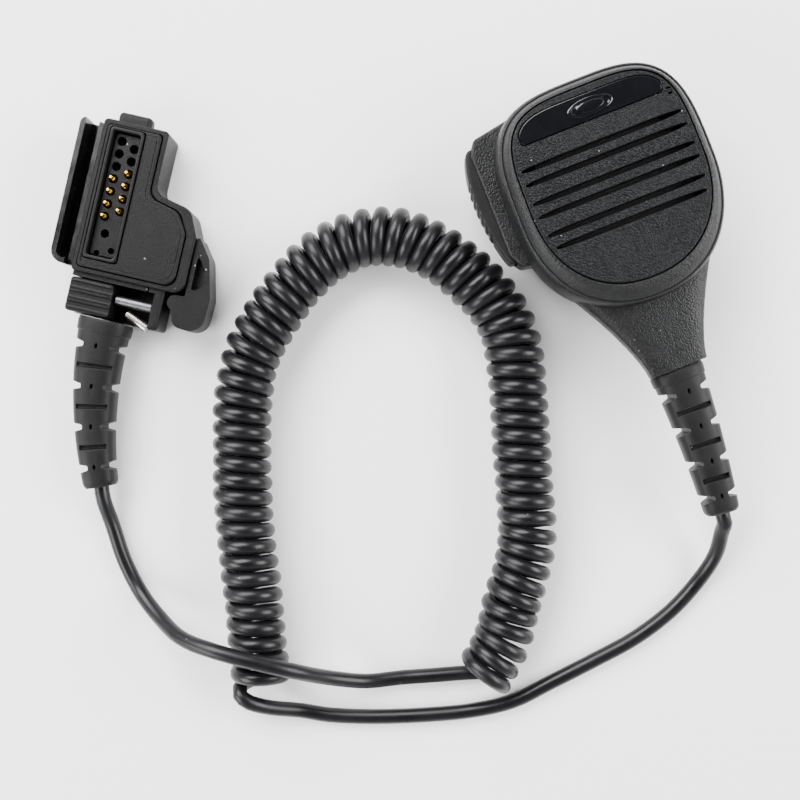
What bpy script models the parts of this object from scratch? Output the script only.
"""A remote speaker microphone on its back: head, talk key, belt clip, curly cord, side connector.

Frame: +Z out of the speaker grille, +Y towards the top of the head, +X to the head's right seen from
the front. The head rests on its clip at Z = 0, with the middle of the microphone, from the top of the
head to the end of its strain relief, at X = Y = 0. The cord and its connector lie beside it.
"""

import math

import bmesh
import bpy
from mathutils import Matrix, Vector

MM = 0.001
GAP = 0.3 * MM  # between pieces that touch
WELD = 0.00001

# Head: a superellipse, squarer above its middle than below it
HEAD_HALF_WIDTH = 27.6 * MM
HEAD_HALF_HEIGHT = 30.8 * MM
TOP_POWER = 3.4
BOTTOM_POWER = 2.2
OUTLINE_POINTS = 40
BACK_Z = 9.0 * MM  # the back face, held off the table by the clip
PARTING_Z = 19.5 * MM  # where the two shells meet
FRONT_Z = 30.5 * MM  # the rim round the grille
SHELL_WALL = 2.0 * MM
FACE_DEPTH = 4.0 * MM  # the front shell's face, pocket and ledge together
FLOOR_DEPTH = 2.0 * MM

# Grille panel, name plate and the boss on it
PANEL_HALF_WIDTH = 23.6 * MM
PANEL_HALF_HEIGHT = 26.1 * MM
PANEL_MIDDLE_Y = 1.2 * MM
PANEL_POWER = 3.8
PANEL_DEPTH = 2.0 * MM
PANEL_PROUD = 0.2 * MM
SLOT_HEIGHT = 1.5 * MM
SLOT_PAIRS = 3
PAIR_TOP_Y = 10.3 * MM
PAIR_PITCH = 8.85 * MM
SLOT_PITCH = 3.7 * MM
SLOT_MARGIN = 1.5 * MM
PORT_X = 21.0 * MM
PORT_Y = (17.3 * MM, 18.7 * MM)
PORT_SIZE = (1.3 * MM, 0.55 * MM)
PLATE_BOTTOM_Y = 18.4 * MM
PLATE_MARGIN = 2.1 * MM
PLATE_HALF_WIDTH = 19.4 * MM
PLATE_POWER = 5.0
PLATE_DEPTH = 0.8 * MM
BOSS_MIDDLE = (0.5 * MM, 21.7 * MM)
BOSS_HALF = (6.2 * MM, 2.4 * MM)
BOSS_PROUD = 0.4 * MM

# Speaker, board and capsule
SPEAKER_Y = 1.0 * MM
SPEAKER_RADIUS = 20.0 * MM
SPEAKER_FLANGE = 1.1 * MM
SPEAKER_BOWL_RADIUS = 10.0 * MM
SPEAKER_BOWL_DEPTH = 6.6 * MM
GASKET_WIDTH = 2.5 * MM
GASKET_DEPTH = 0.9 * MM
MESH_RADIUS = 21.2 * MM
MESH_DEPTH = 0.4 * MM
MAGNET_RADIUS = 9.0 * MM
MAGNET_DEPTH = 3.6 * MM
BOARD_MARGIN = 5.8 * MM  # from the side of the head
BOARD_Y = (-15.0 * MM, 17.3 * MM)
BOARD_DEPTH = 1.2 * MM
BOARD_LIFT = 0.6 * MM
CAPSULE_PLACE = (20.6 * MM, 16.3 * MM)
CAPSULE_RADIUS = 2.7 * MM
CAPSULE_DEPTH = 2.6 * MM
SEAL_WIDTH = 0.9 * MM
SEAL_HEIGHT = 2.2 * MM

# Screws that hold the shells together, from the back
SCREW_PLACES = (
    (15.5 * MM, 21.8 * MM),
    (-15.5 * MM, 21.8 * MM),
    (14.3 * MM, -18.4 * MM),
    (-14.3 * MM, -18.4 * MM),
)
SCREW_RADIUS = 1.2 * MM
SCREW_HEAD_RADIUS = 2.2 * MM
SCREW_HEAD_DEPTH = 1.2 * MM
SCREW_LENGTH = 12.0 * MM
SCREW_BOSS_RADIUS = 2.6 * MM

# Push-to-talk key, on the left side
KEY_Y = (-8.0 * MM, 25.0 * MM)
KEY_HEIGHT = 7.0 * MM
KEY_PROUD = 6.8 * MM  # past the side of the head, at the middle of its bow
KEY_EDGE = 3.6 * MM  # past the side of the head, at its ends
KEY_TRAVEL = 1.2 * MM
HOUSING_PROUD = 3.4 * MM
HOUSING_MARGIN = 1.8 * MM
HOUSING_EDGE = 1.0 * MM
HOUSING_CLEARANCE = 0.3 * MM  # from the housing to the parting line
KEY_MIDDLE_Z = PARTING_Z - HOUSING_CLEARANCE - HOUSING_EDGE - GAP - KEY_HEIGHT / 2
PLUNGER_RADIUS = 1.4 * MM
PLUNGER_Z = KEY_MIDDLE_Z + 1.0 * MM
SWITCH_SIZE = (3.4 * MM, 6.0 * MM, 3.4 * MM)

# Neck of the head, which both shells share, and the strain relief in its end
NECK_TOP_Y = -19.0 * MM
NECK_END_Y = -50.0 * MM
NECK_TOP_HALF = 22.0 * MM
NECK_END_HALF = 7.8 * MM
NECK_FLARE = 1.37
CHANNEL_TOP_Y = -23.0 * MM  # where the cord comes out inside the head
NECK_END_FRONT_Z = 21.4 * MM
NECK_TOP_FRONT_Z = 25.6 * MM
NECK_STATIONS = 8
NECK_STEP = 0.4 * MM  # how far the neck's back stands off the back face
CORD_CHANNEL_RADIUS = 3.3 * MM
BOOT_START_Z = 15.0 * MM
BOOT_END_Z = 13.0 * MM
BOOT_LENGTH = 41.1 * MM
BOOT_END_SHIFT = -1.9 * MM
BOOT_HALF_WIDTHS = (7.3 * MM, 4.9 * MM)
BOOT_HALF_HEIGHTS = (6.1 * MM, 4.5 * MM)
BOOT_TONGUE = 6.0 * MM
BOOT_TONGUE_RADIUS = 2.9 * MM
NOTCHES = 4
NOTCH_WIDTH = 1.9 * MM
NOTCH_DEPTH = 3.2 * MM

# Belt clip: a swivelling jaw, a sprung lever, their pin and the screw they turn on
CLIP_Y = 4.0 * MM
CLIP_GAP = 0.3 * MM  # between the swivelling jaw and the back of the head
JAW_DEPTH = 1.7 * MM
JAW_HALF_WIDTH = 10.0 * MM
JAW_TIP_HALF_WIDTH = 7.0 * MM
JAW_TIP_Y = -18.0 * MM
JAW_TOP_Y = 14.0 * MM
LEVER_DEPTH = 2.2 * MM
LEVER_HALF_WIDTH = 7.6 * MM
LEVER_PAD_Y = 22.0 * MM
CLIP_PIN_Y = 11.0 * MM
CLIP_PIN_Z = 4.6 * MM
CLIP_PIN_RADIUS = 1.0 * MM
EAR_WIDTH = 1.6 * MM
EAR_RADIUS = 2.1 * MM
CLIP_SCREW_RADIUS = 2.5 * MM
CLIP_HEAD_RADIUS = 4.2 * MM
CLIP_HEAD_DEPTH = 1.2 * MM
CLIP_BOSS_RADIUS = 4.6 * MM
CLIP_BOSS_DEPTH = 2.4 * MM
SPRING_WIRE = 0.7 * MM
SPRING_RADIUS = 1.65 * MM
SPRING_TURNS = 4
SPRING_HALF_LENGTH = 4.0 * MM

# Connector, in its own frame: +Z out of the contacts, +Y away from its strain relief
CONNECTOR_PLACE = (-122.0 * MM, 42.6 * MM)
CONNECTOR_TURN = math.radians(-34.5)
CASE_LEFT = -13.5 * MM
CASE_TOP = 24.8 * MM
CASE_NECK_RIGHT = 4.6 * MM
CASE_RIGHT = 18.1 * MM
CASE_BOTTOM = -17.8 * MM
CASE_SHOULDER = 5.4 * MM
CASE_DEPTH = 13.2 * MM
CASE_WALL = 1.2 * MM
CASE_RIGHT_WALL = 2.6 * MM
CASE_FLOOR = 1.6 * MM
LID_DEPTH = 1.8 * MM
LID_PROUD = 0.8 * MM
TAIL_BOTTOM = -29.0 * MM
TAIL_DEPTH = 12.0 * MM
TAIL_RIGHT = 13.0 * MM
POCKET_LEFT = -0.6 * MM
POCKET_RIGHT = 10.3 * MM
POCKET_FLOOR = 3.0 * MM
GLAND_GROOVES = 3
TAB_X = (-10.5 * MM, -1.1 * MM)
TAB_LENGTH = 3.0 * MM
TAB_Z = (7.0 * MM, 11.5 * MM)
RECESS_X = (-11.1 * MM, -1.1 * MM)
RECESS_Y = (-14.0 * MM, 23.0 * MM)
SEAL_BAND = 0.9 * MM
SEAL_PROUD = 0.8 * MM
CONTACT_SINK = 1.2 * MM
CONTACT_DEPTH = 3.6 * MM
CONTACT_COLUMNS = ((-7.6 * MM, -1.6 * MM, 7), (-3.8 * MM, 0.5 * MM, 6))
CONTACT_PITCH = 3.5 * MM
PINS_PER_COLUMN = 4
KEY_HOLES = (  # x, y and radius
    (-6.5 * MM, -6.2 * MM, 1.2 * MM),
    (-3.8 * MM, -10.5 * MM, 0.9 * MM),
    (-7.6 * MM, -11.8 * MM, 0.8 * MM),
)
HOLE_RADIUS = 1.0 * MM
PIN_BARREL_RADIUS = 0.8 * MM
PIN_TIP_RADIUS = 0.5 * MM
PIN_PROUD = 3.0 * MM
PIN_SHOULDER = 0.3 * MM
WING_WIDTH = 5.6 * MM
WING_WALL = 1.4 * MM
WING_Y = (-16.7 * MM, 23.5 * MM)
WING_Z = (4.5 * MM, 14.4 * MM)
LEVER_PIVOT = (16.2 * MM, -20.3 * MM)
LEVER_KNUCKLE = 2.2 * MM
LEVER_Z = (2.0 * MM, 12.0 * MM)
LEVER_PIN_RADIUS = 0.9 * MM
LEVER_TIP_Y = -1.6 * MM
LEVER_BOW = 7.3 * MM
LEVER_FOOT_Y = -27.0 * MM
SHAFT_RADIUS = 1.35 * MM
SHAFT_PLACE = (-23.1 * MM, 9.2 * MM)
CATCH_RADIUS = 1.35 * MM
CATCH_START = (2.6 * MM, -26.0 * MM)
CATCH_END = (9.2 * MM, -28.9 * MM)
CATCH_Z = 6.6 * MM
CASE_SCREWS = ((-9.5 * MM, 20.0 * MM), (11.0 * MM, -11.0 * MM))
CONNECTOR_BOOT_START = (-2.3 * MM, -29.3 * MM)
CONNECTOR_BOOT_END = (6.3 * MM, -74.8 * MM)
CONNECTOR_BOOT_BOW = 2.4 * MM
CONNECTOR_BOOT_Z = (6.7 * MM, 5.3 * MM)
CONNECTOR_BOOT_HALF_WIDTHS = (7.5 * MM, 4.9 * MM)
CONNECTOR_BOOT_HALF_HEIGHTS = (6.1 * MM, 4.5 * MM)

# Cord: a straight lead at each end of a coiled middle
CORD_RADIUS = 2.1 * MM
COIL_RADIUS = 8.4 * MM
LEAD_SIDES = 2  # bevel resolution, which gives 8 sides
COIL_SIDES = 4  # 12 sides
LEAD_STEP = 9.0 * MM
COIL_STEP = 10.0 * MM
STRAND_RADIUS = COIL_RADIUS - CORD_RADIUS  # of the middle of the cord, round the coil's axis

# Middle of the whole microphone, from the head to the end of its strain relief
MIC_X = (KEY_PROUD) / 2
MIC_Y = (-NECK_END_Y + GAP + BOOT_LENGTH - HEAD_HALF_HEIGHT) / 2


# ---------------------------------------------------------------- scene and helpers


def clear_scene():
    for old in list(bpy.data.objects):
        bpy.data.objects.remove(old, do_unlink=True)
    for old in list(bpy.data.collections):
        bpy.data.collections.remove(old)


def new_collection(name):
    made = bpy.data.collections.new(name)
    bpy.context.scene.collection.children.link(made)
    return made


clear_scene()
PARTS = new_collection("hand_microphone")
CUTTERS = new_collection("cutters")


def new_material(name, colour, roughness, metallic=0.0):
    made = bpy.data.materials.new(name)
    made.use_nodes = True
    shader = made.node_tree.nodes["Principled BSDF"]
    shader.inputs["Base Color"].default_value = (*colour, 1.0)
    shader.inputs["Roughness"].default_value = roughness
    shader.inputs["Metallic"].default_value = metallic
    return made


HOUSING = new_material("housing_abs", (0.035, 0.036, 0.038), 0.55)
CASE = new_material("connector_plastic", (0.020, 0.020, 0.021), 0.50)
GLOSS = new_material("gloss_plate", (0.010, 0.011, 0.016), 0.12)
RUBBER = new_material("rubber", (0.030, 0.030, 0.032), 0.70)
CORD = new_material("cord_jacket", (0.025, 0.025, 0.028), 0.45)
STEEL = new_material("steel", (0.62, 0.61, 0.60), 0.25, 1.0)
DARK_STEEL = new_material("dark_steel", (0.25, 0.25, 0.26), 0.35, 1.0)
GOLD = new_material("gold", (0.83, 0.62, 0.20), 0.22, 1.0)
BOARD = new_material("circuit_board", (0.02, 0.16, 0.06), 0.45)
MAGNET = new_material("magnet", (0.12, 0.12, 0.13), 0.40, 0.8)
PAPER = new_material("cone_paper", (0.05, 0.05, 0.05), 0.85)
CLOTH = new_material("dust_cloth", (0.008, 0.008, 0.008), 0.95)


def new_datum(name, place=(0.0, 0.0, 0.0), turn=0.0, parent=None):
    made = bpy.data.objects.new(name, None)
    PARTS.objects.link(made)
    made.location = place
    made.rotation_euler = (0.0, 0.0, turn)
    made.parent = parent
    return made


MIC = new_datum("mic_datum", (MIC_X, MIC_Y, 0.0))
PLUG = new_datum("connector_datum", (*CONNECTOR_PLACE, 0.0), CONNECTOR_TURN, MIC)


def object_of(mesh, name, parent=MIC):
    made = bpy.data.objects.new(name, mesh)
    PARTS.objects.link(made)
    made.parent = parent
    return made


def finish(piece, material, origin=(0.0, 0.0, 0.0), smooth=30):
    """Gives a piece its finish and moves its origin, such as to its joint's axis."""
    piece.data.transform(Matrix.Translation(-Vector(origin)))
    piece.location = origin
    piece.data.materials.clear()
    piece.data.materials.append(material)
    piece.data.shade_smooth()
    piece.data.set_sharp_from_angle(angle=math.radians(smooth))
    return piece


def as_cutter(piece):
    PARTS.objects.unlink(piece)
    CUTTERS.objects.link(piece)
    piece.hide_render = True
    piece.display_type = "WIRE"
    return piece


def combine(piece, other, operation):
    """A Boolean with a helper object, which leaves the render."""
    step = piece.modifiers.new(other.name, "BOOLEAN")
    step.operation = operation
    step.solver = "EXACT"
    step.object = as_cutter(other)


def cut(piece, *others):
    for other in others:
        combine(piece, other, "DIFFERENCE")


def unite(piece, *others):
    for other in others:
        combine(piece, other, "UNION")


def mesh_of_curve(curve, name, parent):
    """The curve's evaluated mesh as an object, with its caps welded."""
    guide = bpy.data.objects.new(name, curve)
    PARTS.objects.link(guide)
    graph = bpy.context.evaluated_depsgraph_get()
    mesh = bpy.data.meshes.new_from_object(guide.evaluated_get(graph))
    bpy.data.objects.remove(guide)
    weld = bmesh.new()
    weld.from_mesh(mesh)
    bmesh.ops.remove_doubles(weld, verts=weld.verts, dist=WELD)
    bmesh.ops.recalc_face_normals(weld, faces=weld.faces)
    weld.to_mesh(mesh)
    weld.free()
    return object_of(mesh, name, parent)


def flat_piece(name, loops, low, high, parent=MIC):
    """A flat outline, with its holes, between two heights."""
    curve = bpy.data.curves.new(name, "CURVE")
    curve.dimensions = "2D"
    curve.fill_mode = "BOTH"
    curve.extrude = (high - low) / 2
    for loop in loops:
        spline = curve.splines.new("POLY")
        spline.points.add(len(loop) - 1)
        for point, (x, y) in zip(spline.points, loop):
            point.co = (x, y, 0.0, 1.0)
        spline.use_cyclic_u = True
    made = mesh_of_curve(curve, name, parent)
    made.data.transform(Matrix.Translation((0.0, 0.0, (low + high) / 2)))
    return made


def tube(name, route, radius, parent=MIC, sides=LEAD_SIDES):
    """A round tube along the points of a route, with closed ends."""
    curve = bpy.data.curves.new(name, "CURVE")
    curve.dimensions = "3D"
    curve.bevel_depth = radius
    curve.bevel_resolution = sides
    curve.use_fill_caps = True
    spline = curve.splines.new("POLY")
    spline.points.add(len(route) - 1)
    for point, place in zip(spline.points, route):
        point.co = (*place, 1.0)
    return mesh_of_curve(curve, name, parent)


def box(name, low, high, parent=MIC):
    mesh = bpy.data.meshes.new(name)
    shape = bmesh.new()
    low, high = Vector(low), Vector(high)
    size = Matrix.Diagonal((*(high - low), 1.0))
    bmesh.ops.create_cube(shape, size=1.0, matrix=Matrix.Translation((low + high) / 2) @ size)
    shape.to_mesh(mesh)
    shape.free()
    return object_of(mesh, name, parent)


def cylinder(name, start, end, radius, parent=MIC, sides=24, end_radius=None):
    """A cylinder, or a cone, from one point to another."""
    mesh = bpy.data.meshes.new(name)
    shape = bmesh.new()
    start, end = Vector(start), Vector(end)
    turn = (end - start).to_track_quat("Z", "Y").to_matrix().to_4x4()
    bmesh.ops.create_cone(
        shape,
        cap_ends=True,
        segments=sides,
        radius1=radius,
        radius2=radius if end_radius is None else end_radius,
        depth=(end - start).length,
        matrix=Matrix.Translation((start + end) / 2) @ turn,
    )
    shape.to_mesh(mesh)
    shape.free()
    return object_of(mesh, name, parent)


def turned(name, profile, place, parent=MIC, steps=28):
    """A profile of (radius, height), down its outer side, turned round an upright axis."""
    mesh = bpy.data.meshes.new(name)
    points = [(radius, 0.0, height) for radius, height in profile]
    closed = profile[0][0] > 0 or profile[-1][0] > 0
    edges = [(i, i + 1) for i in range(len(points) - 1)]
    if closed:
        edges.append((len(points) - 1, 0))
    mesh.from_pydata(points, edges, [])
    made = object_of(mesh, name, parent)
    made.location = place
    screw = made.modifiers.new("turn", "SCREW")
    screw.steps = steps
    screw.render_steps = steps
    screw.use_merge_vertices = True
    screw.merge_threshold = WELD
    graph = bpy.context.evaluated_depsgraph_get()
    solid = bpy.data.meshes.new_from_object(made.evaluated_get(graph))
    made.modifiers.remove(screw)
    made.data = solid
    made.location = (0.0, 0.0, 0.0)
    solid.transform(Matrix.Translation(place))
    tidy = bmesh.new()
    tidy.from_mesh(solid)
    bmesh.ops.remove_doubles(tidy, verts=tidy.verts, dist=WELD)
    bmesh.ops.recalc_face_normals(tidy, faces=tidy.faces)
    tidy.to_mesh(solid)
    tidy.free()
    return made


def loft(name, rings, parent=MIC):
    """A closed solid through sections that all have the same number of points."""
    mesh = bpy.data.meshes.new(name)
    shape = bmesh.new()
    rows = [[shape.verts.new(point) for point in ring] for ring in rings]
    for lower, upper in zip(rows, rows[1:]):
        for i in range(len(lower)):
            j = (i + 1) % len(lower)
            shape.faces.new((lower[i], lower[j], upper[j], upper[i]))
    shape.faces.new(reversed(rows[0]))
    shape.faces.new(rows[-1])
    bmesh.ops.recalc_face_normals(shape, faces=shape.faces)
    shape.to_mesh(mesh)
    shape.free()
    return object_of(mesh, name, parent)


def soften(piece, width, segments=2, angle=40):
    bevel = piece.modifiers.new("soften", "BEVEL")
    bevel.width = width
    bevel.segments = segments
    bevel.limit_method = "ANGLE"
    bevel.angle_limit = math.radians(angle)


# ---------------------------------------------------------------- outlines


def circle(middle, radius, count=24):
    turns = [2 * math.pi * i / count for i in range(count)]
    return [(middle[0] + radius * math.cos(t), middle[1] + radius * math.sin(t)) for t in turns]


def oval(middle, half, count=20):
    ring = circle((0.0, 0.0), 1.0, count)
    return [(middle[0] + half[0] * x, middle[1] + half[1] * y) for x, y in ring]


def head_outline(half_width, half_height, middle_y=0.0, top_power=TOP_POWER, bottom_power=BOTTOM_POWER):
    points = []
    for i in range(OUTLINE_POINTS):
        c = math.cos(2 * math.pi * i / OUTLINE_POINTS)
        s = math.sin(2 * math.pi * i / OUTLINE_POINTS)
        power = top_power if s > 0 else bottom_power
        reach = (abs(c) ** power + abs(s) ** power) ** (-1 / power)
        points.append((half_width * reach * c, middle_y + half_height * reach * s))
    return points


def panel_outline(inset=0.0):
    return head_outline(
        PANEL_HALF_WIDTH - inset, PANEL_HALF_HEIGHT - inset, PANEL_MIDDLE_Y, PANEL_POWER, BOTTOM_POWER
    )


def half_width_at(y, half_width, half_height, middle_y, top_power, bottom_power):
    """Half the outline's width at a height y."""
    power = top_power if y > middle_y else bottom_power
    share = min(abs(y - middle_y) / half_height, 1.0)
    return half_width * (1 - share**power) ** (1 / power)


def rounded(corners, steps=5):
    """A polygon of (x, y, radius) corners, each with an arc."""
    points = []
    for i, (x, y, radius) in enumerate(corners):
        here = Vector((x, y))
        back = (Vector(corners[i - 1][:2]) - here).normalized()
        ahead = (Vector(corners[(i + 1) % len(corners)][:2]) - here).normalized()
        half = back.angle(ahead) / 2
        if radius <= 0 or half > math.radians(89):
            points.append((x, y))
            continue
        middle = here + (back + ahead).normalized() * radius / math.sin(half)
        start = here + back * radius / math.tan(half) - middle
        end = here + ahead * radius / math.tan(half) - middle
        sweep = start.angle_signed(end)
        for k in range(steps + 1):
            turn = Matrix.Rotation(-sweep * k / steps, 2)
            spot = middle + turn @ start
            points.append((spot.x, spot.y))
    return points


def stadium(middle, half_length, height, steps=4):
    """A slot with round ends."""
    radius = height / 2
    straight = half_length - radius
    points = []
    for side in (1, -1):
        for k in range(steps + 1):
            turn = -math.pi / 2 + math.pi * k / steps
            x = side * (straight + radius * math.cos(turn))
            points.append((middle[0] + x, middle[1] + side * radius * math.sin(turn)))
    return points


def smooth_route(points, step):
    """Points about a step apart on a smooth curve through the route's own points."""
    places = [Vector(p) for p in points]
    places = [2 * places[0] - places[1], *places, 2 * places[-1] - places[-2]]
    found = []
    for p0, p1, p2, p3 in zip(places, places[1:], places[2:], places[3:]):
        count = max(1, round((p2 - p1).length / step))
        for k in range(count):
            t = k / count
            found.append(
                0.5
                * (
                    2 * p1
                    + (p2 - p0) * t
                    + (2 * p0 - 5 * p1 + 4 * p2 - p3) * t**2
                    + (3 * p1 - 3 * p2 + p3 - p0) * t**3
                )
            )
    found.append(places[-2])
    return found


# ---------------------------------------------------------------- head


def shell_rings(levels):
    """Sections of the head: (inset, middle_y, height) each."""
    rings = []
    for inset, middle_y, z in levels:
        outline = head_outline(HEAD_HALF_WIDTH - inset, HEAD_HALF_HEIGHT - inset, middle_y)
        rings.append([(x, y, z) for x, y in outline])
    return rings


def cavity(name, low, high, inset=SHELL_WALL):
    outline = head_outline(HEAD_HALF_WIDTH - inset, HEAD_HALF_HEIGHT - inset)
    return flat_piece(name, [outline], low, high)


def neck(name, base_z, front):
    """Half of the neck: the front half rises from the parting plane, the back half drops from it."""
    rings = []
    for i in range(NECK_STATIONS):
        share = i / (NECK_STATIONS - 1)
        y = NECK_END_Y + (NECK_TOP_Y - NECK_END_Y) * share
        half = NECK_END_HALF + (NECK_TOP_HALF - NECK_END_HALF) * share**NECK_FLARE
        front_z = NECK_END_FRONT_Z + (NECK_TOP_FRONT_Z - NECK_END_FRONT_Z) * share
        far_z = front_z if front else BACK_Z + NECK_STEP
        ring = []
        for k in range(13):
            turn = math.pi * k / 12
            c, s = math.cos(turn), math.sin(turn)
            reach = (abs(c) ** 3 + abs(s) ** 3) ** (-1 / 3)
            ring.append((half * reach * c, y, base_z + (far_z - base_z) * reach * s))
        rings.append(ring)
    return loft(name, rings)


def screw_bosses(name, low, high, hole_low, hole_high):
    """Bosses for the shell screws and the holes in them, as two helper objects for each place."""
    bosses, holes = [], []
    for i, (x, y) in enumerate(SCREW_PLACES):
        boss = cylinder(f"{name}_boss_{i}", (x, y, low), (x, y, high), SCREW_BOSS_RADIUS, sides=12)
        start, end = (x, y, hole_low), (x, y, hole_high)
        hole = cylinder(f"{name}_hole_{i}", start, end, SCREW_RADIUS + GAP, sides=10)
        bosses.append(boss)
        holes.append(hole)
    return bosses, holes


def boot_collar_pocket(name):
    """Room in the end of the neck for the strain relief's tongue."""
    start = (0.0, NECK_END_Y - 1 * MM, BOOT_START_Z)
    end = (0.0, CHANNEL_TOP_Y + 1 * MM, BOOT_START_Z)
    return cylinder(name, start, end, CORD_CHANNEL_RADIUS, sides=20)


def make_front_shell():
    base = PARTING_Z + GAP / 2
    rise = FRONT_Z - base
    shell = loft(
        "front_shell",
        shell_rings(
            (
                (0.0, 0.0, base),
                (0.1 * MM, 0.0, base + 0.45 * rise),
                (0.9 * MM, 0.1 * MM, base + 0.75 * rise),
                (2.2 * MM, 0.5 * MM, base + 0.93 * rise),
                (3.2 * MM, 0.9 * MM, FRONT_Z),
            )
        ),
    )
    unite(shell, neck("front_neck", base, True))
    ledge_z = FRONT_Z - FACE_DEPTH
    seat_z = FRONT_Z - PANEL_DEPTH - GAP
    cut(shell, cavity("front_cavity", base - 5 * MM, ledge_z))
    cut(shell, flat_piece("panel_pocket", [panel_outline(-GAP)], seat_z, FRONT_Z + 5 * MM))
    speaker = circle((0.0, SPEAKER_Y), SPEAKER_RADIUS + GAP, 32)
    cut(shell, flat_piece("sound_opening", [speaker], ledge_z - 5 * MM, FRONT_Z))
    low, high = (PORT_X, PORT_Y[0], ledge_z - 1 * MM), (PORT_X, PORT_Y[0], FRONT_Z)
    cut(shell, cylinder("sound_port", low, high, PORT_SIZE[0] / 2, sides=12))
    bosses, holes = screw_bosses("front", base + 0.2 * MM, ledge_z + 1 * MM, base - 5 * MM, ledge_z)
    unite(shell, *bosses)
    cut(shell, *holes)
    return finish(shell, HOUSING)


def make_grille_panel():
    base = FRONT_Z - PANEL_DEPTH
    top = FRONT_Z + PANEL_PROUD
    slots = []
    for pair in range(SLOT_PAIRS):
        for side in (1, -1):
            y = PAIR_TOP_Y - pair * PAIR_PITCH + side * SLOT_PITCH / 2
            edge = half_width_at(
                y, PANEL_HALF_WIDTH, PANEL_HALF_HEIGHT, PANEL_MIDDLE_Y, PANEL_POWER, BOTTOM_POWER
            )
            slots.append(stadium((0.0, y), edge - SLOT_MARGIN, SLOT_HEIGHT))
    ports = [stadium((PORT_X, y), PORT_SIZE[0] / 2, PORT_SIZE[1], 3) for y in PORT_Y]
    panel = flat_piece("grille_panel", [panel_outline(), *slots, *ports], base, top)
    pocket_z = top - PLATE_DEPTH - GAP
    cut(panel, flat_piece("plate_pocket", [plate_outline(-GAP)], pocket_z, top + 5 * MM))
    return finish(panel, HOUSING)


def plate_outline(inset=0.0):
    """The name plate: the panel's own arched top, cut off straight below."""
    half = PLATE_HALF_WIDTH - inset
    bottom = PLATE_BOTTOM_Y + inset
    points = [(-half + 1 * MM, bottom), (half - 1 * MM, bottom), (half, bottom + 1 * MM)]
    top = PANEL_MIDDLE_Y + PANEL_HALF_HEIGHT - PLATE_MARGIN - inset
    steps = 14
    for i in range(steps + 1):
        x = half * (1 - 2 * i / steps)
        fall = abs(x / (half + PLATE_MARGIN)) ** PLATE_POWER
        points.append((x, PANEL_MIDDLE_Y + (top - PANEL_MIDDLE_Y) * (1 - fall) ** (1 / PLATE_POWER)))
    points.append((-half, bottom + 1 * MM))
    return points


def make_name_plate():
    base = FRONT_Z + PANEL_PROUD - PLATE_DEPTH
    top = FRONT_Z + PANEL_PROUD + GAP
    hole = oval(BOSS_MIDDLE, (BOSS_HALF[0] + GAP, BOSS_HALF[1] + GAP))
    finish(flat_piece("name_plate", [plate_outline(), hole], base, top), GLOSS)
    boss = flat_piece("plate_boss", [oval(BOSS_MIDDLE, BOSS_HALF)], base, top + BOSS_PROUD)
    soften(boss, 0.2 * MM)
    finish(boss, GLOSS)


def make_speaker():
    top = FRONT_Z - FACE_DEPTH
    axis = (0.0, SPEAKER_Y)
    mesh_z = top - GAP - MESH_DEPTH
    finish(flat_piece("dust_mesh", [circle(axis, MESH_RADIUS, 28)], mesh_z, top - GAP), CLOTH)
    gasket_z = mesh_z - GAP - GASKET_DEPTH
    rings = [circle(axis, SPEAKER_RADIUS, 28), circle(axis, SPEAKER_RADIUS - GASKET_WIDTH, 28)]
    finish(flat_piece("speaker_gasket", rings, gasket_z, mesh_z - GAP), RUBBER)
    rim = gasket_z - GAP
    bowl = rim - SPEAKER_BOWL_DEPTH
    lip = SPEAKER_RADIUS - GASKET_WIDTH
    profile = (
        (SPEAKER_RADIUS, rim),
        (SPEAKER_RADIUS, rim - SPEAKER_FLANGE),
        (lip, rim - SPEAKER_FLANGE),
        (SPEAKER_BOWL_RADIUS, bowl),
        (3 * MM, bowl),
        (3 * MM, bowl + 1 * MM),
        (SPEAKER_BOWL_RADIUS - 0.7 * MM, bowl + 1 * MM),
        (lip - 0.9 * MM, rim),
    )
    finish(turned("speaker_frame", profile, (0.0, SPEAKER_Y, 0.0)), DARK_STEEL)
    edge = lip - 2.7 * MM
    cone = (
        (0.0, rim - 2.7 * MM),
        (3 * MM, rim - 3.1 * MM),
        (6 * MM, rim - 4.1 * MM),
        (edge, rim - 0.1 * MM),
        (edge, rim - 0.6 * MM),
        (5.8 * MM, rim - 4.7 * MM),
        (2.8 * MM, rim - 3.7 * MM),
        (0.0, rim - 3.3 * MM),
    )
    finish(turned("speaker_cone", cone, (0.0, SPEAKER_Y, 0.0)), PAPER)
    start, end = (0.0, SPEAKER_Y, bowl - GAP - MAGNET_DEPTH), (0.0, SPEAKER_Y, bowl - GAP)
    finish(cylinder("speaker_magnet", start, end, MAGNET_RADIUS, sides=32), MAGNET)


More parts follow.
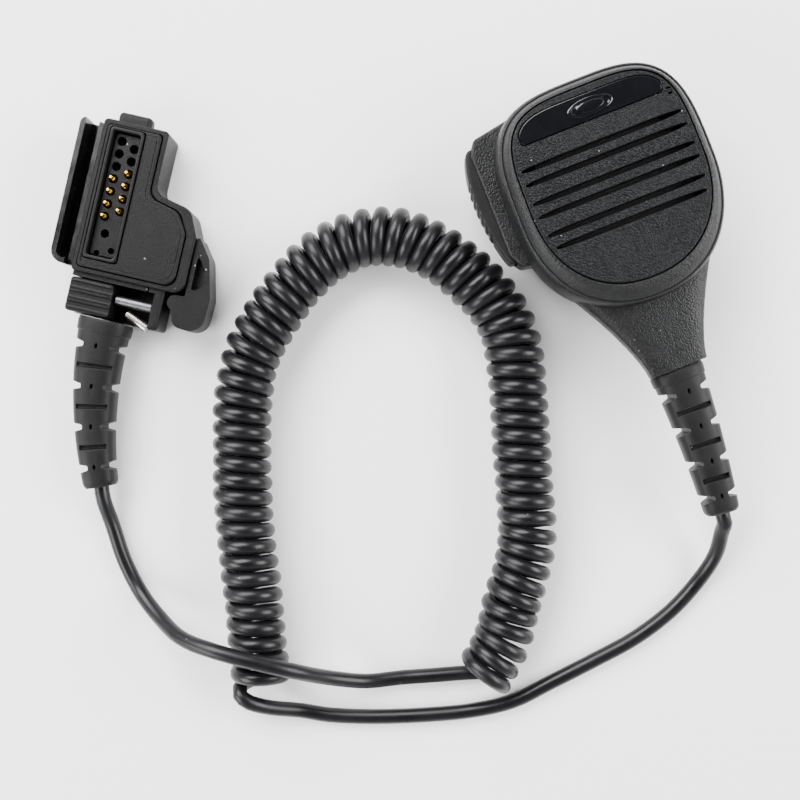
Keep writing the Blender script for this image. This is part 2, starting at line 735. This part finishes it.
def make_inside():
    floor = BACK_Z + FLOOR_DEPTH
    low, high = BOARD_Y
    half = HEAD_HALF_WIDTH - BOARD_MARGIN
    corners = [(-half, low, 6 * MM), (half, low, 6 * MM), (half, high, 3 * MM), (-half, high, 3 * MM)]
    hole = circle((0.0, CLIP_Y), CLIP_BOSS_RADIUS + GAP)
    base = floor + BOARD_LIFT
    finish(flat_piece("circuit_board", [rounded(corners), hole], base, base + BOARD_DEPTH), BOARD)
    top = FRONT_Z - FACE_DEPTH - 3 * GAP
    x, y = CAPSULE_PLACE
    capsule = cylinder("mic_capsule", (x, y, top - CAPSULE_DEPTH), (x, y, top), CAPSULE_RADIUS)
    finish(capsule, DARK_STEEL)
    rings = []
    for inset in (SHELL_WALL + GAP, SHELL_WALL + GAP + SEAL_WIDTH):
        rings.append(head_outline(HEAD_HALF_WIDTH - inset, HEAD_HALF_HEIGHT - inset))
    low, high = PARTING_Z - SEAL_HEIGHT / 2, PARTING_Z + SEAL_HEIGHT / 2
    finish(flat_piece("shell_gasket", rings, low, high), RUBBER)
    tip = plunger_tip_x() + KEY_TRAVEL + GAP
    size = Vector(SWITCH_SIZE)
    low = Vector((tip, key_middle_y() - size.y / 2, base + BOARD_DEPTH + GAP))
    finish(box("ptt_switch", low, low + size), DARK_STEEL)
    start = (0.0, NECK_END_Y + BOOT_TONGUE + GAP, BOOT_START_Z)
    end = (0.0, CHANNEL_TOP_Y - 1 * MM, BOOT_START_Z)
    finish(cylinder("cord_tail", start, end, CORD_RADIUS, sides=16), CORD)


def key_middle_y():
    return (KEY_Y[0] + KEY_Y[1]) / 2


def pocket_floor_x():
    """The floor of the key's pocket, in the side of the back shell."""
    return -HEAD_HALF_WIDTH - HOUSING_PROUD + 3.0 * MM


def plunger_tip_x():
    return -HEAD_HALF_WIDTH + SHELL_WALL + 1.0 * MM


def make_back_shell():
    top = PARTING_Z - GAP / 2
    fall = top - BACK_Z
    shell = loft(
        "back_shell",
        shell_rings(
            (
                (3.9 * MM, 0.0, BACK_Z),
                (2.6 * MM, 0.0, BACK_Z + 0.06 * fall),
                (1.2 * MM, 0.0, BACK_Z + 0.22 * fall),
                (0.3 * MM, 0.0, BACK_Z + 0.5 * fall),
                (0.1 * MM, 0.0, top),
            )
        ),
    )
    unite(shell, neck("back_neck", top, False))
    side = -HEAD_HALF_WIDTH
    low, high = KEY_Y[0] - HOUSING_MARGIN, KEY_Y[1] + HOUSING_MARGIN
    corners = (
        (side + 10 * MM, low - 2 * MM, 0.0),
        (side + 10 * MM, high + 2 * MM, 0.0),
        (side - 0.4 * HOUSING_PROUD, high, 2 * MM),
        (side - HOUSING_PROUD, high - 4 * MM, 2 * MM),
        (side - HOUSING_PROUD, low + 4 * MM, 2 * MM),
        (side - 0.3 * HOUSING_PROUD, low, 2 * MM),
    )
    margin = KEY_HEIGHT / 2 + GAP + HOUSING_EDGE
    low, high = KEY_MIDDLE_Z - margin, KEY_MIDDLE_Z + margin
    unite(shell, flat_piece("key_housing", [rounded(corners, 3)], low, high))
    floor = BACK_Z + FLOOR_DEPTH
    cut(shell, cavity("back_cavity", floor, top + 5 * MM))
    bosses, holes = screw_bosses("back", floor - 1 * MM, top - 0.1 * MM, BACK_Z - 5 * MM, top + 5 * MM)
    unite(shell, *bosses)
    start, end = (0.0, CLIP_Y, floor - 1 * MM), (0.0, CLIP_Y, floor + CLIP_BOSS_DEPTH)
    unite(shell, cylinder("clip_boss", start, end, CLIP_BOSS_RADIUS))
    cut(shell, *holes)
    for i, (x, y) in enumerate(SCREW_PLACES):
        sink = BACK_Z + SCREW_HEAD_DEPTH + GAP
        radius = SCREW_HEAD_RADIUS + GAP
        cut(shell, cylinder(f"screw_sink_{i}", (x, y, BACK_Z - 5 * MM), (x, y, sink), radius, sides=16))
    hole_top = floor + CLIP_BOSS_DEPTH - 0.8 * MM
    hole = CLIP_SCREW_RADIUS + GAP
    cut(shell, cylinder("clip_hole", (0.0, CLIP_Y, BACK_Z - 5 * MM), (0.0, CLIP_Y, hole_top), hole))
    half = KEY_HEIGHT / 2 + GAP
    low = (side - HOUSING_PROUD - 5 * MM, KEY_Y[0] - GAP, KEY_MIDDLE_Z - half)
    high = (pocket_floor_x(), KEY_Y[1] + GAP, KEY_MIDDLE_Z + half)
    cut(shell, box("key_pocket", low, high))
    y = key_middle_y()
    start, end = (side - 5 * MM, y, PLUNGER_Z), (side + 8 * MM, y, PLUNGER_Z)
    cut(shell, cylinder("plunger_hole", start, end, PLUNGER_RADIUS + GAP, sides=16))
    cut(shell, boot_collar_pocket("neck_channel"))
    return finish(shell, HOUSING)


def make_screws():
    for i, (x, y) in enumerate(SCREW_PLACES):
        base = BACK_Z + GAP / 2
        head = base + SCREW_HEAD_DEPTH - GAP / 2
        profile = (
            (0.0, base + SCREW_LENGTH),
            (SCREW_RADIUS * 0.6, base + SCREW_LENGTH),
            (SCREW_RADIUS, base + SCREW_LENGTH - 1 * MM),
            (SCREW_RADIUS, head),
            (SCREW_HEAD_RADIUS, head),
            (SCREW_HEAD_RADIUS, base),
            (0.0, base),
        )
        screw = turned(f"shell_screw_{i + 1}", profile, (x, y, 0.0), steps=10)
        slot = SCREW_HEAD_RADIUS * 0.7
        for k, (a, b) in enumerate(((slot, 0.35 * MM), (0.35 * MM, slot))):
            low, high = (x - a, y - b, base - 1 * MM), (x + a, y + b, base + 0.6 * MM)
            cut(screw, box(f"drive_{i}_{k}", low, high))
        finish(screw, DARK_STEEL)


def make_key():
    side = -HEAD_HALF_WIDTH
    inner = pocket_floor_x() - KEY_TRAVEL - GAP
    points = [(inner, KEY_Y[0]), (inner, KEY_Y[1])]
    steps = 14
    for i in range(steps + 1):
        share = i / steps
        bow = math.sin(math.pi * share**0.85) ** 0.75
        x = side - KEY_EDGE - (KEY_PROUD - KEY_EDGE) * bow
        points.append((x, KEY_Y[1] + (KEY_Y[0] - KEY_Y[1]) * share))
    half = KEY_HEIGHT / 2
    key = flat_piece("ptt_button", [points], KEY_MIDDLE_Z - half, KEY_MIDDLE_Z + half)
    soften(key, 0.7 * MM)
    y = key_middle_y()
    start, end = (inner - 1 * MM, y, PLUNGER_Z), (plunger_tip_x(), y, PLUNGER_Z)
    unite(key, cylinder("plunger", start, end, PLUNGER_RADIUS, sides=16))
    finish(key, RUBBER, (inner, y, KEY_MIDDLE_Z))


# ---------------------------------------------------------------- belt clip


def jaw_z():
    """The swivelling jaw's lower and upper faces."""
    high = BACK_Z - CLIP_GAP
    return high - JAW_DEPTH, high


def make_clip():
    low, high = jaw_z()
    corners = (
        (-JAW_HALF_WIDTH, JAW_TOP_Y, 3 * MM),
        (-JAW_HALF_WIDTH, -4 * MM, 3 * MM),
        (-JAW_TIP_HALF_WIDTH, -8 * MM, 3 * MM),
        (-JAW_TIP_HALF_WIDTH, JAW_TIP_Y, 2 * MM),
        (JAW_TIP_HALF_WIDTH, JAW_TIP_Y, 2 * MM),
        (JAW_TIP_HALF_WIDTH, -8 * MM, 3 * MM),
        (JAW_HALF_WIDTH, -4 * MM, 3 * MM),
        (JAW_HALF_WIDTH, JAW_TOP_Y, 3 * MM),
    )
    hole = circle((0.0, CLIP_Y), CLIP_SCREW_RADIUS + GAP)
    jaw = flat_piece("clip_swivel", [rounded(corners, 3), hole], low, high)
    pin = Vector((0.0, CLIP_PIN_Y, CLIP_PIN_Z))
    across = Vector((1.0, 0.0, 0.0))
    for side in (1, -1):
        outer = side * JAW_HALF_WIDTH
        inner = side * (JAW_HALF_WIDTH - EAR_WIDTH)
        tab = side_ear("jaw_ear", pin, min(inner, outer), max(inner, outer), low + 0.2 * MM)
        unite(jaw, tab)
    bore = CLIP_PIN_RADIUS + GAP
    cut(jaw, cylinder("jaw_bore", pin - across * 20 * MM, pin + across * 20 * MM, bore, sides=16))
    finish(jaw, HOUSING, (0.0, CLIP_Y, low))
    end = across * JAW_HALF_WIDTH
    finish(cylinder("clip_pin", pin - end, pin + end, CLIP_PIN_RADIUS, sides=16), STEEL, pin)
    make_lever(pin, low)
    make_spring(pin)
    head_top = low - GAP
    shank_top = BACK_Z + FLOOR_DEPTH + CLIP_BOSS_DEPTH - 0.8 * MM - GAP
    profile = (
        (0.0, shank_top),
        (CLIP_SCREW_RADIUS, shank_top),
        (CLIP_SCREW_RADIUS, head_top),
        (CLIP_HEAD_RADIUS, head_top),
        (CLIP_HEAD_RADIUS, head_top - CLIP_HEAD_DEPTH),
        (0.0, head_top - CLIP_HEAD_DEPTH),
    )
    finish(turned("clip_screw", profile, (0.0, CLIP_Y, 0.0), steps=24), STEEL)


def side_ear(name, pin, left, right, root_z):
    """A rounded ear round the clip's pin, reaching to the height of its plate."""
    made = cylinder(name, (left, pin.y, pin.z), (right, pin.y, pin.z), EAR_RADIUS, sides=20)
    low, high = min(pin.z, root_z), max(pin.z, root_z)
    web = box(f"{name}_web", (left, pin.y - 1.9 * MM, low), (right, pin.y + 1.9 * MM, high))
    unite(made, web)
    return made


def make_lever(pin, jaw_low):
    corners = (
        (-LEVER_HALF_WIDTH, LEVER_PAD_Y, 4 * MM),
        (-LEVER_HALF_WIDTH, 2 * MM, 8 * MM),
        (-JAW_TIP_HALF_WIDTH, JAW_TIP_Y, 2.5 * MM),
        (JAW_TIP_HALF_WIDTH, JAW_TIP_Y, 2.5 * MM),
        (LEVER_HALF_WIDTH, 2 * MM, 8 * MM),
        (LEVER_HALF_WIDTH, LEVER_PAD_Y, 4 * MM),
    )
    lever = flat_piece("clip_lever", [rounded(corners, 4)], 0.0, LEVER_DEPTH)
    tip_low = (-JAW_TIP_HALF_WIDTH + 1 * MM, JAW_TIP_Y + 0.6 * MM, LEVER_DEPTH - 1 * MM)
    tip_high = (JAW_TIP_HALF_WIDTH - 1 * MM, JAW_TIP_Y + 2.6 * MM, jaw_low - GAP)
    unite(lever, box("jaw_tip", tip_low, tip_high))
    outer = JAW_HALF_WIDTH - EAR_WIDTH - GAP - 0.1 * MM
    for side in (1, -1):
        ends = sorted((side * outer, side * (outer - EAR_WIDTH)))
        unite(lever, side_ear("lever_ear", pin, ends[0], ends[1], LEVER_DEPTH - 0.5 * MM))
    across = Vector((20 * MM, 0.0, 0.0))
    cut(lever, cylinder("lever_bore", pin - across, pin + across, CLIP_PIN_RADIUS + GAP, sides=16))
    finish(lever, HOUSING, pin)


def make_spring(pin):
    steps = 8
    route = []
    for i in range(SPRING_TURNS * steps + 1):
        share = i / (SPRING_TURNS * steps)
        turn = 2 * math.pi * i / steps
        x = -SPRING_HALF_LENGTH + 2 * SPRING_HALF_LENGTH * share
        y = pin.y + SPRING_RADIUS * math.cos(turn)
        z = pin.z + SPRING_RADIUS * math.sin(turn)
        route.append((x, y, z))
    finish(tube("clip_spring", route, SPRING_WIRE / 2, sides=2), STEEL)


# ---------------------------------------------------------------- strain reliefs


def boot_frame(points, widths, heights, powers=2.6, sides=16):
    """Rings across a centreline of points, from the first half width and height to the last."""
    rings = []
    places = [Vector(p) for p in points]
    for i, place in enumerate(places):
        ahead = places[min(i + 1, len(places) - 1)] - places[max(i - 1, 0)]
        ahead.z = 0.0
        across = Vector((ahead.y, -ahead.x, 0.0)).normalized()
        share = i / (len(places) - 1)
        half = widths[0] + (widths[1] - widths[0]) * share
        tall = heights[0] + (heights[1] - heights[0]) * share
        ring = []
        for k in range(sides):
            c, s = math.cos(2 * math.pi * k / sides), math.sin(2 * math.pi * k / sides)
            reach = (abs(c) ** powers + abs(s) ** powers) ** (-1 / powers)
            ring.append(place + across * half * reach * c + Vector((0.0, 0.0, tall * reach * s)))
        rings.append(ring)
    return rings


def notch(name, place, ahead, half, tall, on_sides, parent):
    """A pair of notches across a strain relief: in its sides, or in its front and back."""
    across = Vector((ahead.y, -ahead.x, 0.0)).normalized()
    turn = Matrix((across, ahead.normalized(), Vector((0.0, 0.0, 1.0)))).transposed().to_4x4()
    wide, high = (half, tall) if on_sides else (tall, half)
    mesh = bpy.data.meshes.new(name)
    shape = bmesh.new()
    for side in (1, -1):
        size = Vector((NOTCH_DEPTH + 5 * MM, NOTCH_WIDTH, 2 * high + 10 * MM))
        shift = Vector((side * (wide - NOTCH_DEPTH + size.x / 2), 0.0, 0.0))
        if not on_sides:
            size = Vector((size.z, size.y, size.x))
            shift = Vector((0.0, 0.0, shift.x))
        spot = Matrix.Translation(place) @ turn @ Matrix.Translation(shift)
        spot = spot @ Matrix.Diagonal((*size, 1.0))
        bmesh.ops.create_cube(shape, size=1.0, matrix=spot)
    shape.to_mesh(mesh)
    shape.free()
    return object_of(mesh, name, parent)


def make_boot(name, points, widths, heights, tongue, parent):
    """A notched rubber strain relief; a tongue runs back into its housing from its first point."""
    boot = loft(name, boot_frame(points, widths, heights), parent)
    places = [Vector(p) for p in points]
    back = (places[0] - places[1]).normalized()
    back.z = 0.0
    if tongue > 0:
        inside = places[0] + back.normalized() * tongue
        unite(boot, cylinder(f"{name}_tongue", places[1], inside, BOOT_TONGUE_RADIUS, parent, 20))
    count = 2 * NOTCHES
    for i in range(1, count):
        share = (i + 0.3) / (count + 0.3)
        at = share * (len(places) - 1)
        k = min(int(at), len(places) - 2)
        place = places[k].lerp(places[k + 1], at - k)
        half = widths[0] + (widths[1] - widths[0]) * share
        tall = heights[0] + (heights[1] - heights[0]) * share
        ahead = places[k + 1] - places[k]
        ahead.z = 0.0
        cut(boot, notch(f"{name}_notch_{i}", place, ahead, half, tall, i % 2 == 1, parent))
    finish(boot, RUBBER)


def mic_boot_points():
    points = []
    for i in range(9):
        share = i / 8
        y = NECK_END_Y - GAP - BOOT_LENGTH * share
        z = BOOT_START_Z + (BOOT_END_Z - BOOT_START_Z) * share**2
        points.append(Vector((BOOT_END_SHIFT * share**2, y, z)))
    return points


def connector_boot_points():
    start, end = Vector(CONNECTOR_BOOT_START), Vector(CONNECTOR_BOOT_END)
    left = Vector(((end - start).y, -(end - start).x)).normalized()
    points = []
    for i in range(9):
        share = i / 8
        spot = start.lerp(end, share) + left * CONNECTOR_BOOT_BOW * 4 * share * (1 - share)
        low, high = CONNECTOR_BOOT_Z
        points.append(Vector((spot.x, spot.y, low + (high - low) * share)))
    return points


# ---------------------------------------------------------------- connector


def case_outline(inset=0.0, right_inset=None):
    right = inset if right_inset is None else right_inset
    corners = (
        (CASE_LEFT + inset, CASE_TOP - inset, 1.2 * MM),
        (CASE_LEFT + inset, CASE_BOTTOM + inset, 1.2 * MM),
        (CASE_RIGHT - right, CASE_BOTTOM + inset, 3.2 * MM),
        (CASE_RIGHT - right, CASE_SHOULDER - 6.9 * MM, 3.0 * MM),
        (CASE_RIGHT - 3.1 * MM - right, CASE_SHOULDER - inset, 4.0 * MM),
        (CASE_NECK_RIGHT - inset, CASE_SHOULDER + 2.2 * MM - inset, 3.5 * MM),
        (CASE_NECK_RIGHT - inset, CASE_TOP - inset, 1.2 * MM),
    )
    return rounded(corners)


def lid_z():
    return CASE_DEPTH + LID_PROUD - LID_DEPTH, CASE_DEPTH + LID_PROUD


def make_case():
    case = flat_piece("connector_shell", [case_outline()], 0.0, CASE_DEPTH, PLUG)
    low = (CASE_LEFT + 0.4 * MM, TAIL_BOTTOM, 0.0)
    high = (TAIL_RIGHT, CASE_BOTTOM + 3 * MM, TAIL_DEPTH)
    unite(case, box("case_tail", low, high, PLUG))
    x, y = LEVER_PIVOT
    top = LEVER_Z[0] - GAP
    unite(case, cylinder("pivot_ear", (x, y, 0.0), (x, y, top), LEVER_KNUCKLE + 1 * MM, PLUG))
    low, high = (TAB_X[0], CASE_TOP - 2 * MM, TAB_Z[0]), (TAB_X[1], CASE_TOP + TAB_LENGTH, TAB_Z[1])
    unite(case, box("top_tab", low, high, PLUG))
    inside = case_outline(CASE_WALL, CASE_RIGHT_WALL)
    cut(case, flat_piece("case_inside", [inside], CASE_FLOOR, CASE_DEPTH + 5 * MM, PLUG))
    low = (CASE_LEFT - 5 * MM, TAIL_BOTTOM - 5 * MM, POCKET_FLOOR)
    high = (POCKET_LEFT, CASE_BOTTOM - 1.2 * MM, TAIL_DEPTH + 5 * MM)
    cut(case, box("gland_seat", low, high, PLUG))
    low = (POCKET_LEFT - 0.1 * MM, TAIL_BOTTOM - 5 * MM, POCKET_FLOOR)
    high = (POCKET_RIGHT, CASE_BOTTOM - 1.2 * MM, TAIL_DEPTH + 5 * MM)
    cut(case, box("latch_pocket", low, high, PLUG))
    pin_hole = LEVER_PIN_RADIUS + GAP
    cut(case, cylinder("pivot_hole", (x, y, 0.8 * MM), (x, y, 20 * MM), pin_hole, PLUG, 16))
    hole = SCREW_RADIUS + GAP
    for i, (x, y) in enumerate(CASE_SCREWS):
        cut(case, cylinder(f"case_screw_hole_{i}", (x, y, -1 * MM), (x, y, 3 * MM), hole, PLUG, 16))
    finish(case, CASE)


def make_lid():
    low, high = lid_z()
    outline = case_outline(CASE_WALL + GAP, CASE_RIGHT_WALL + GAP)
    x0, x1 = RECESS_X
    y0, y1 = RECESS_Y
    hole = rounded([(x0, y0, 1 * MM), (x1, y0, 1 * MM), (x1, y1, 1 * MM), (x0, y1, 1 * MM)])
    lid = flat_piece("connector_plate", [outline, hole], low, high, PLUG)
    for i, (x, y) in enumerate(CASE_SCREWS[1:]):
        boss = cylinder(f"lid_boss_{i}", (x, y, 6 * MM), (x, y, low + 1 * MM), 2.2 * MM, PLUG, 16)
        unite(lid, boss)
        cut(lid, cylinder(f"lid_hole_{i}", (x, y, 5 * MM), (x, y, low), SCREW_RADIUS + GAP, PLUG, 16))
    finish(lid, CASE)


def contact_places():
    """(x, y, radius, is a pin) for every hole in the contact block."""
    places = []
    for x, first, count in CONTACT_COLUMNS:
        for i in range(count):
            places.append((x, first + i * CONTACT_PITCH, HOLE_RADIUS, i < PINS_PER_COLUMN))
    for x, y, radius in KEY_HOLES:
        places.append((x, y, radius, False))
    return places


def make_contacts():
    low, high = lid_z()
    x0, x1 = RECESS_X[0] + GAP, RECESS_X[1] - GAP
    y0, y1 = RECESS_Y[0] + GAP, RECESS_Y[1] - GAP
    outer = rounded([(x0, y0, 0.9 * MM), (x1, y0, 0.9 * MM), (x1, y1, 0.9 * MM), (x0, y1, 0.9 * MM)])
    band = SEAL_BAND
    x0, x1, y0, y1 = x0 + band, x1 - band, y0 + band, y1 - band
    inner = rounded([(x0, y0, 0.6 * MM), (x1, y0, 0.6 * MM), (x1, y1, 0.6 * MM), (x0, y1, 0.6 * MM)])
    finish(flat_piece("contact_gasket", [outer, inner], low, high + SEAL_PROUD, PLUG), RUBBER)
    x0, x1, y0, y1 = x0 + GAP, x1 - GAP, y0 + GAP, y1 - GAP
    top = high - CONTACT_SINK
    block = rounded([(x0, y0, 0.5 * MM), (x1, y0, 0.5 * MM), (x1, y1, 0.5 * MM), (x0, y1, 0.5 * MM)], 2)
    holes = []
    pins = []
    for x, y, radius, is_pin in contact_places():
        holes.append(circle((x, y), PIN_BARREL_RADIUS + GAP if is_pin else radius, 8))
        if is_pin:
            pins.append((x, y))
    finish(flat_piece("contact_block", [block, *holes], top - CONTACT_DEPTH, top, PLUG), CASE)
    for i, (x, y) in enumerate(pins):
        base = top - CONTACT_DEPTH + 1.6 * MM
        profile = (
            (0.0, top + PIN_PROUD),
            (PIN_TIP_RADIUS * 0.7, top + PIN_PROUD - 0.1 * MM),
            (PIN_TIP_RADIUS, top + PIN_PROUD - 0.4 * MM),
            (PIN_TIP_RADIUS, top + PIN_SHOULDER),
            (PIN_BARREL_RADIUS, top + PIN_SHOULDER),
            (PIN_BARREL_RADIUS, base),
            (0.0, base),
        )
        pin = turned(f"contact_pin_{i + 1}", profile, (x, y, 0.0), PLUG, 8)
        finish(pin, GOLD, (x, y, base))


def make_wing():
    """A J-shaped guide rail along the connector's left side."""
    left = CASE_LEFT - GAP - WING_WIDTH
    right = CASE_LEFT - GAP
    low, high = WING_Z
    section = (
        (right, low),
        (right, high - 3.0 * MM),
        (right - WING_WALL, high - 3.0 * MM),
        (right - WING_WALL, low + WING_WALL),
        (left + WING_WALL, low + WING_WALL),
        (left + WING_WALL, high),
        (left, high),
        (left, low),
    )
    rings = [[(x, y, z) for x, z in section] for y in WING_Y]
    wing = loft("guide_wing", rings, PLUG)
    soften(wing, 0.35 * MM)
    finish(wing, CASE)


def lever_outline():
    """The teardrop lever: a broad foot beside its pivot and a curved arm to its tip."""
    x, y = LEVER_PIVOT
    inner = CASE_RIGHT + GAP
    under = CASE_BOTTOM - GAP
    outer = CASE_RIGHT + LEVER_BOW
    return rounded(
        (
            (inner, LEVER_TIP_Y, 0.0),
            (inner, under, 0.6 * MM),
            (x, under, 0.0),
            (x - 0.8 * MM, y - 1.5 * MM, 1.0 * MM),
            (x + 0.6 * MM, LEVER_FOOT_Y, 3.0 * MM),
            (outer - 0.4 * MM, LEVER_FOOT_Y, 4.0 * MM),
            (outer, LEVER_FOOT_Y + 9.6 * MM, 4.0 * MM),
            (inner + 4.4 * MM, LEVER_TIP_Y - 5.0 * MM, 5.0 * MM),
            (inner + 0.8 * MM, LEVER_TIP_Y, 0.3 * MM),
        ),
        4,
    )


def make_latch():
    low, high = LEVER_Z
    lever = flat_piece("latch_lever", [lever_outline()], low, high, PLUG)
    x, y = LEVER_PIVOT
    unite(lever, cylinder("knuckle", (x, y, low), (x, y, high), LEVER_KNUCKLE, PLUG))
    inner = CASE_RIGHT + GAP
    web = rounded(
        (
            (inner + 1.2 * MM, LEVER_TIP_Y - 4.6 * MM, 0.3 * MM),
            (inner + 1.2 * MM, CASE_BOTTOM + 1.0 * MM, 0.8 * MM),
            (inner + 4.0 * MM, CASE_BOTTOM + 2.4 * MM, 0.8 * MM),
            (inner + 3.4 * MM, LEVER_TIP_Y - 9.0 * MM, 0.8 * MM),
        ),
        3,
    )
    cut(lever, flat_piece("lever_web", [web], high - 5 * MM, high + 5 * MM, PLUG))
    bore = LEVER_PIN_RADIUS + GAP
    start, end = (x, y, low - 1 * MM), (x, y, high + 1 * MM)
    cut(lever, cylinder("lever_pivot_bore", start, end, bore, PLUG, 16))
    finish(lever, CASE, (x, y, low))
    start, end = (x, y, 0.8 * MM + GAP), (x, y, high)
    finish(cylinder("lever_pin", start, end, LEVER_PIN_RADIUS, PLUG, 16), STEEL)
    y, z = SHAFT_PLACE
    start, end = (POCKET_LEFT + 0.1 * MM, y, z), (POCKET_RIGHT - GAP, y, z)
    finish(cylinder("latch_shaft", start, end, SHAFT_RADIUS, PLUG, 16), DARK_STEEL)
    start, end = Vector((*CATCH_START, CATCH_Z)), Vector((*CATCH_END, CATCH_Z))
    pin = cylinder("catch_pin", start, end, CATCH_RADIUS, PLUG, 20)
    soften(pin, 0.25 * MM)
    finish(pin, STEEL, start)


def make_gland():
    low = (CASE_LEFT + 0.4 * MM, TAIL_BOTTOM + 0.2 * MM, POCKET_FLOOR + GAP)
    high = (POCKET_LEFT - GAP, CASE_BOTTOM - 1.2 * MM - GAP, TAIL_DEPTH + 0.4 * MM)
    gland = box("gland_block", low, high, PLUG)
    soften(gland, 0.5 * MM)
    length = high[1] - low[1]
    for i in range(GLAND_GROOVES):
        y = low[1] + length * (i + 0.6) / (GLAND_GROOVES + 0.4)
        start, end = (low[0] - 1 * MM, y, high[2] + 0.5 * MM), (high[0] + 1 * MM, y, high[2] + 0.5 * MM)
        cut(gland, cylinder(f"gland_groove_{i}", start, end, 1.2 * MM, PLUG, 16))
    finish(gland, CASE)


def make_connector_inside():
    low = 3.2 * MM
    inset = CASE_WALL + 1.0 * MM
    outline = case_outline(inset, CASE_RIGHT_WALL + 1.0 * MM)
    holes = [circle(place, SCREW_RADIUS + GAP, 16) for place in CASE_SCREWS]
    finish(flat_piece("connector_board", [outline, *holes], low, low + 1.2 * MM, PLUG), BOARD)
    for i, (x, y) in enumerate(CASE_SCREWS):
        head = 0.1 * MM
        tops = (8.2 * MM, 9.5 * MM)
        profile = (
            (0.0, tops[i]),
            (SCREW_RADIUS, tops[i] - 0.4 * MM),
            (SCREW_RADIUS, head),
            (0.0, head),
        )
        finish(turned(f"connector_screw_{i + 1}", profile, (x, y, 0.0), PLUG, 10), DARK_STEEL)


# ---------------------------------------------------------------- cord

# The route lies in the head's own frame. Each list is chosen by hand, in millimetres.
COIL_ROUTE = (
    (-137.0, -90.2), (-134.3, -80.0), (-130.4, -67.0), (-127.0, -53.6), (-123.0, -40.2),
    (-118.2, -27.4), (-113.0, -14.8), (-105.8, -3.6), (-96.0, 4.6), (-86.0, 10.8), (-76.5, 14.4),
    (-66.0, 14.9), (-56.5, 11.4), (-48.5, 4.2), (-43.0, -4.4), (-39.0, -13.6), (-37.4, -23.0),
    (-38.9, -32.5), (-42.0, -43.0), (-46.2, -56.0), (-50.0, -68.0), (-53.2, -78.0), (-58.2, -86.6),
    (-64.5, -94.5), (-70.5, -103.0), (-79.6, -110.7),
)
PLUG_LEAD_ROUTE = (
    (-161.0, -34.0, 2.6), (-161.6, -44.0, 2.3), (-160.4, -54.0, 3.4), (-156.7, -62.4, 8.0),
    (-151.5, -69.1, 14.5), (-143.6, -74.8, 19.2), (-133.3, -82.4, 19.6), (-125.8, -88.3, 17.0),
    (-119.1, -94.6, 10.0), (-110.5, -100.6, 4.4), (-101.0, -103.8, 2.5), (-93.5, -106.2, 2.3),
    (-87.6, -109.0, 2.3), (-82.7, -110.1, 2.3),
)
MIC_LEAD_ROUTE = (
    (-3.2, -97.0, 10.0), (-6.4, -103.4, 5.6), (-13.0, -109.2, 2.6), (-23.5, -114.4, 2.3),
    (-36.0, -117.8, 2.3), (-49.5, -119.4, 2.3), (-62.0, -120.6, 2.3), (-74.0, -121.6, 2.3),
    (-86.0, -119.8, 2.3), (-99.0, -116.0, 2.3), (-112.0, -111.4, 2.3), (-123.4, -106.4, 2.3),
    (-130.4, -102.0, 3.2), (-137.5, -97.2, 7.0),
)


def in_metres(route):
    return [Vector([n * MM for n in point]) for point in route]


def coil_side(end, before):
    """Where a lead meets the left side of the coil's end, and the point that it comes from."""
    out = (end - before).normalized()
    left = Vector((out.y, -out.x, 0.0))
    meet = end + out * 2 * GAP + left * STRAND_RADIUS
    return meet + out * 4 * MM, meet


def make_cord():
    route = [Vector((p.x, p.y, COIL_RADIUS)) for p in in_metres(COIL_ROUTE)]
    finish(tube("cord_coil", smooth_route(route, COIL_STEP), COIL_RADIUS, sides=COIL_SIDES), CORD)

    boot = mic_boot_points()
    away = (boot[-1] - boot[-2]).normalized()
    lead = [boot[-1] + away * GAP, boot[-1] + away * 3 * MM, *in_metres(MIC_LEAD_ROUTE)]
    lead += coil_side(route[0], route[1])
    finish(tube("cord_mic_lead", smooth_route(lead, LEAD_STEP), CORD_RADIUS), CORD)

    to_head = Matrix.Translation((*CONNECTOR_PLACE, 0.0)) @ Matrix.Rotation(CONNECTOR_TURN, 4, "Z")
    boot = [to_head @ p for p in connector_boot_points()]
    away = (boot[-1] - boot[-2]).normalized()
    lead = [boot[-1] + away * GAP, boot[-1] + away * 4 * MM, *in_metres(PLUG_LEAD_ROUTE)]
    finish(tube("cord_plug_lead", smooth_route(lead, LEAD_STEP), CORD_RADIUS), CORD)


# ---------------------------------------------------------------- the whole microphone


def main():
    make_front_shell()
    make_grille_panel()
    make_name_plate()
    make_speaker()
    make_inside()
    make_back_shell()
    make_screws()
    make_key()
    make_clip()
    make_boot("mic_boot", mic_boot_points(), BOOT_HALF_WIDTHS, BOOT_HALF_HEIGHTS, BOOT_TONGUE, MIC)
    make_case()
    make_lid()
    make_contacts()
    make_wing()
    make_latch()
    make_gland()
    make_connector_inside()
    make_boot(
        "connector_boot",
        connector_boot_points(),
        CONNECTOR_BOOT_HALF_WIDTHS,
        CONNECTOR_BOOT_HALF_HEIGHTS,
        0.0,
        PLUG,
    )
    make_cord()


main()
